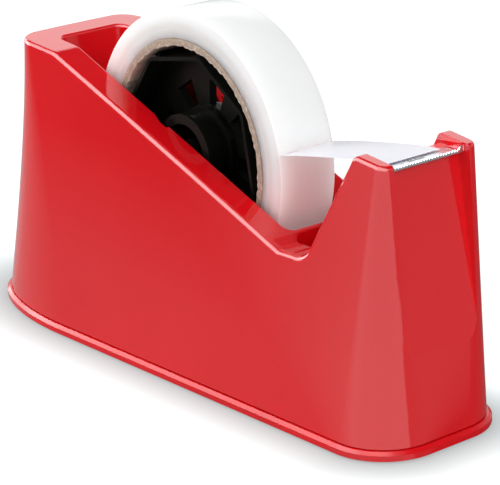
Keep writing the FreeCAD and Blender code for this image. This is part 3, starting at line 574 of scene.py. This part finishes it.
# Tape strip: one layer of clear film, peeled off the front of the roll with its gum side down.
# It runs flat to the blade, lies on it, and bows a little across where nothing holds it.
strip_low, strip_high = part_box("tape_strip")
STRIP_SIZE = strip_high - strip_low
STRIP_PARTS_LONG = 60
STRIP_PARTS_WIDE = 16
STRIP_FILM = 0.00012
STRIP_MARGIN = 0.0001
STRIP_CROWN = 0.0004
STRIP_BOW = 0.0012
STRIP_HEADROOM = 0.0003
STRIP_LIES_FROM = 0.85
STRIP_SMOOTH = math.radians(40.0)
CLEAR_ROUGHNESS = 0.1
CLEAR_ALPHA = 0.84
GUM_ALONG = (0.2, 1.0, 1.0)
GUM_RELIEF = 0.0003
CLEAR = paint(247, 248, 255)
CLEAR_GUM = paint(238, 240, 251)

bpy.ops.object.select_all(action="DESELECT")
bpy.ops.mesh.primitive_grid_add(
    x_subdivisions=STRIP_PARTS_LONG, y_subdivisions=STRIP_PARTS_WIDE,
    size=1.0, location=(strip_low + strip_high) / 2.0,
)
free_tape = bpy.context.object
free_tape.name = "free_tape"
free_tape.scale = (STRIP_SIZE.x, STRIP_SIZE.y, 1.0)
bpy.ops.object.transform_apply(location=True, rotation=True, scale=True)
for vertex in free_tape.data.vertices:
    spot = vertex.co
    along = (spot.x - strip_low.x) / STRIP_SIZE.x
    across = 2.0 * (spot.y - strip_low.y) / STRIP_SIZE.y - 1.0
    free_span = max(0.0, math.sin(math.pi * min(1.0, along / STRIP_LIES_FROM)))
    bow = STRIP_BOW * 4.0 * along * (1.0 - along)
    crown = STRIP_CROWN * across * across * free_span
    rise = (STRIP_SIZE.z - STRIP_HEADROOM) * along
    spot.z = strip_low.z + STRIP_MARGIN + rise + bow - crown
thicken = free_tape.modifiers.new("film", "SOLIDIFY")
thicken.thickness = STRIP_FILM
thicken.offset = 1.0
bpy.ops.object.modifier_apply(modifier="film")
bpy.ops.object.shade_smooth_by_angle(angle=STRIP_SMOOTH)

# Painted light: the film glows faintly in its own clear colour, standing in for light shining through
# it.
clear_film = Finish(
    "clear_tape_film", IOR=1.47, Coat_Weight=0.5, Coat_Roughness=0.04,
    Emission_Color=CLEAR, Emission_Strength=0.07,
)
gum_streak = clear_film.noise(scale=260.0, detail=3.0, roughness=0.6, stretch=GUM_ALONG)
bubble = clear_film.noise(scale=500.0, detail=3.0)
gummed = clear_film.ramp(gum_streak, 0.4, 0.7)
clear_film.drive("Base Color", clear_film.mix(CLEAR, CLEAR_GUM, gummed))
clear_film.drive("Roughness", CLEAR_ROUGHNESS + gum_streak * 0.12)
bubbled = clear_film.ramp(bubble, 0.6, 0.75)
clear_film.drive("Alpha", CLEAR_ALPHA + gummed * 0.05 + bubbled * 0.04)
clear_film.bump(gum_streak, strength=0.08, height=GUM_RELIEF)
free_tape.data.materials.append(clear_film.material)
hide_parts("tape_strip")
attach(free_tape, "axle_set")

# Sweep: the plain pale paper that the dispenser stands on, without a visible edge.
# The camera sees it glow white, with a soft shadow drawn by the distance from the foot's outline.
# Glossy pieces mirror it by direction: a near, a far and a rear stretch, and one bright card.
foot_low, foot_high = cad_box
SWEEP_SIZE = 6.0
SWEEP_DROP = 0.0002
SWEEP_GREY = paint(124, 127, 127)
SWEEP_GREY_PALE = paint(127, 129, 129)
SWEEP_BOUNCE = paint(214, 214, 214)
SWEEP_ROUGHNESS = 0.9
SHADOW_FOOT = paint(162, 171, 171)
SHADOW_FADED = paint(241, 246, 246)
SHADOW_REACH = 0.017
SHADOW_END = 0.06
TAIL_STRETCH = 0.5
TAIL_START_X = foot_low.x + foot_high.y / TAIL_STRETCH
FRONT_RADIUS = 0.0218
FRONT_CORNER_X = foot_high.x - FRONT_RADIUS
FRONT_CORNER_Y = foot_high.y - FRONT_RADIUS
NEAR_MIRRORED = 0.45
FAR_MIRRORED = 0.14
REAR_MIRRORED = 0.5
CARD_MIRRORED = 1.5
CARD_CORNER = (0.1178, -0.0162, 0.0)
NEAR_Y = -0.08
FAR_Y = -0.24
NEAR_ENDS = math.radians(50.0)
FAR_STARTS = math.radians(64.0)
REAR_STARTS = math.radians(105.0)
REAR_FULL = math.radians(125.0)
CARD_STARTS = math.radians(7.0)
CARD_ENDS = math.radians(-147.0)
CARD_START_BLUR = 0.02
CARD_END_BLUR = 0.5


def glow(wiring, level):
    """White light of one strength from a surface."""
    return wiring.node("ShaderNodeEmission", {}, {"Strength": level})


def mirrored(wiring):
    """1 for a ray that a glossy surface sends on."""
    return wiring.node("ShaderNodeLightPath", out="Is Glossy Ray")


def seen(wiring):
    """1 for a ray from the camera, also through clear film."""
    straight = wiring.node("ShaderNodeLightPath", out="Is Camera Ray")
    return straight + wiring.node("ShaderNodeLightPath", out="Is Transmission Ray")


bpy.ops.object.select_all(action="DESELECT")
bpy.ops.mesh.primitive_plane_add(size=SWEEP_SIZE, location=(0.0, 0.0, -SWEEP_DROP))
floor = bpy.context.object
floor.name = "studio_floor"
bpy.ops.object.transform_apply(location=True, rotation=True, scale=True)

sweep = Finish("studio_sweep", Specular_IOR_Level=0.0, Emission_Strength=1.0)
paper_tone = sweep.noise(scale=3.0, detail=2.0)
sweep.drive("Base Color", sweep.mix(SWEEP_GREY, SWEEP_GREY_PALE, paper_tone))
sweep.drive("Roughness", SWEEP_ROUGHNESS + paper_tone * 0.05)

# The foot's outline is a stretched half round at the tail and has two rounded corners in front.
floor_x = sweep.axis("X", sweep.place)
off_side = sweep.maths("ABSOLUTE", sweep.axis("Y", sweep.place))
past_tail = sweep.maths("MAXIMUM", TAIL_START_X - floor_x) * TAIL_STRETCH
past_front = sweep.maths("MAXIMUM", floor_x - FRONT_CORNER_X)
past_corner = sweep.maths("MAXIMUM", off_side - FRONT_CORNER_Y)
off_tail = (past_tail * past_tail + off_side * off_side) ** 0.5 - foot_high.y
off_front = (past_front * past_front + past_corner * past_corner) ** 0.5 - FRONT_RADIUS
off_foot = sweep.maths("MAXIMUM", off_tail, off_front)
shadow = sweep.mix(SHADOW_FOOT, SHADOW_FADED, sweep.ramp(off_foot, 0.0, SHADOW_REACH))
shadow = sweep.mix(shadow, WHITE, sweep.ramp(off_foot, SHADOW_REACH, SHADOW_END))
sweep.drive("Emission Color", shadow)

# The mirrored stretches lie round the point on the floor where the card's edge starts.
from_corner = sweep.node(
    "ShaderNodeVectorMath", {"operation": "SUBTRACT"}, {0: sweep.place, 1: CARD_CORNER}
)
corner_y = sweep.axis("Y", from_corner)
bearing = sweep.maths("ARCTAN2", corner_y, sweep.axis("X", from_corner))
beside = sweep.ramp(corner_y, FAR_Y, NEAR_Y) * sweep.ramp(bearing, FAR_STARTS, NEAR_ENDS)
behind = sweep.ramp(bearing, REAR_STARTS, REAR_FULL)
card_start = sweep.ramp(bearing, CARD_STARTS, CARD_STARTS - CARD_START_BLUR)
on_card = card_start * sweep.ramp(bearing, CARD_ENDS, CARD_ENDS + CARD_END_BLUR)
sheen = sweep.blend(beside, glow(sweep, FAR_MIRRORED), glow(sweep, NEAR_MIRRORED))
sheen = sweep.blend(behind, sheen, glow(sweep, REAR_MIRRORED))
sheen = sweep.blend(on_card, sheen, glow(sweep, CARD_MIRRORED))
bounce = sweep.node("ShaderNodeBsdfDiffuse", {}, {"Color": SWEEP_BOUNCE})
unseen = sweep.blend(mirrored(sweep), bounce, sheen)
sweep_light = sweep.blend(seen(sweep), unseen, Wire(sweep, sweep.shader.outputs[0]))
sweep.feed(sweep.tree.nodes["Material Output"].inputs["Surface"], sweep_light)
floor.data.materials.append(sweep.material)

# Surround: the white room round the sweep, which lights the dispenser evenly from every side.
# Glossy pieces mirror a bright wall on the camera's side, a duller one behind and a dark ceiling.
SURROUND_LEVEL = 0.43
NEAR_WALL_LEVEL = 5.6
BACK_WALL_LEVEL = 0.8
CEILING_LEVEL = 0.06
SEEN_LEVEL = 1.0
CEILING_STARTS = 0.5
CEILING_FULL = 0.66
NEAR_WALL_STARTS = -0.12
NEAR_WALL_FULL = -0.22


def plain_light(wiring, level):
    """White light of one strength from far away."""
    return wiring.node("ShaderNodeBackground", {}, {"Color": WHITE, "Strength": level})


world = bpy.data.worlds.new("studio_world")
bpy.context.scene.world = world
world.use_nodes = True
surround = Wiring(world.node_tree)
direction = surround.node("ShaderNodeTexCoord", out="Generated")
ceiling = surround.ramp(surround.axis("Z", direction), CEILING_STARTS, CEILING_FULL)
near_wall = surround.ramp(surround.axis("Y", direction), NEAR_WALL_STARTS, NEAR_WALL_FULL)
back_wall = plain_light(surround, BACK_WALL_LEVEL)
room = surround.blend(ceiling, back_wall, plain_light(surround, CEILING_LEVEL))
room = surround.blend(near_wall, room, plain_light(surround, NEAR_WALL_LEVEL))
room = surround.blend(mirrored(surround), plain_light(surround, SURROUND_LEVEL), room)
room = surround.blend(seen(surround), room, plain_light(surround, SEEN_LEVEL))
surround.feed(surround.tree.nodes["World Output"].inputs["Surface"], room)

# Lamps: five soft boxes at a plain level, each turned towards the middle of the body or the roll.
# They stand on the camera's side, behind, above, beyond the tail and in front of the cutter.
KEY_BOX = {"place": (-0.2, -0.5, 0.44), "width": 0.52, "height": 0.46, "watts": 1.75}
BACK_BOX = {"place": (-0.82, 0.76, 0.62), "width": 1.0, "height": 0.5, "watts": 1.4}
TOP_BOX = {"place": (0.36, -0.2, 0.7), "width": 0.6, "height": 0.6, "watts": 1.0}
LEFT_BOX = {"place": (-1.0, -0.2, 0.3), "width": 0.9, "height": 0.6, "watts": 5.0}
FRONT_BOX = {"place": (0.95, 0.0, 0.6), "width": 0.6, "height": 0.6, "watts": 3.6}
BODY_MIDDLE = 0.06
ROLL_MIDDLE = 0.08


def soft_lamp(name, aim_height, place, width, height, watts):
    """Soft box that faces a point above the middle of the dispenser's foot."""
    data = bpy.data.lights.new(name, "AREA")
    data.shape = "RECTANGLE"
    data.size = width
    data.size_y = height
    data.energy = watts
    lamp = bpy.data.objects.new(name, data)
    lamp.location = place
    towards = Vector((0.0, 0.0, aim_height)) - Vector(place)
    lamp.rotation_euler = towards.to_track_quat("-Z", "Y").to_euler()
    bpy.context.scene.collection.objects.link(lamp)


soft_lamp("key_box", BODY_MIDDLE, **KEY_BOX)
soft_lamp("back_box", ROLL_MIDDLE, **BACK_BOX)
soft_lamp("top_box", BODY_MIDDLE, **TOP_BOX)
soft_lamp("left_box", BODY_MIDDLE, **LEFT_BOX)
soft_lamp("front_box", BODY_MIDDLE, **FRONT_BOX)
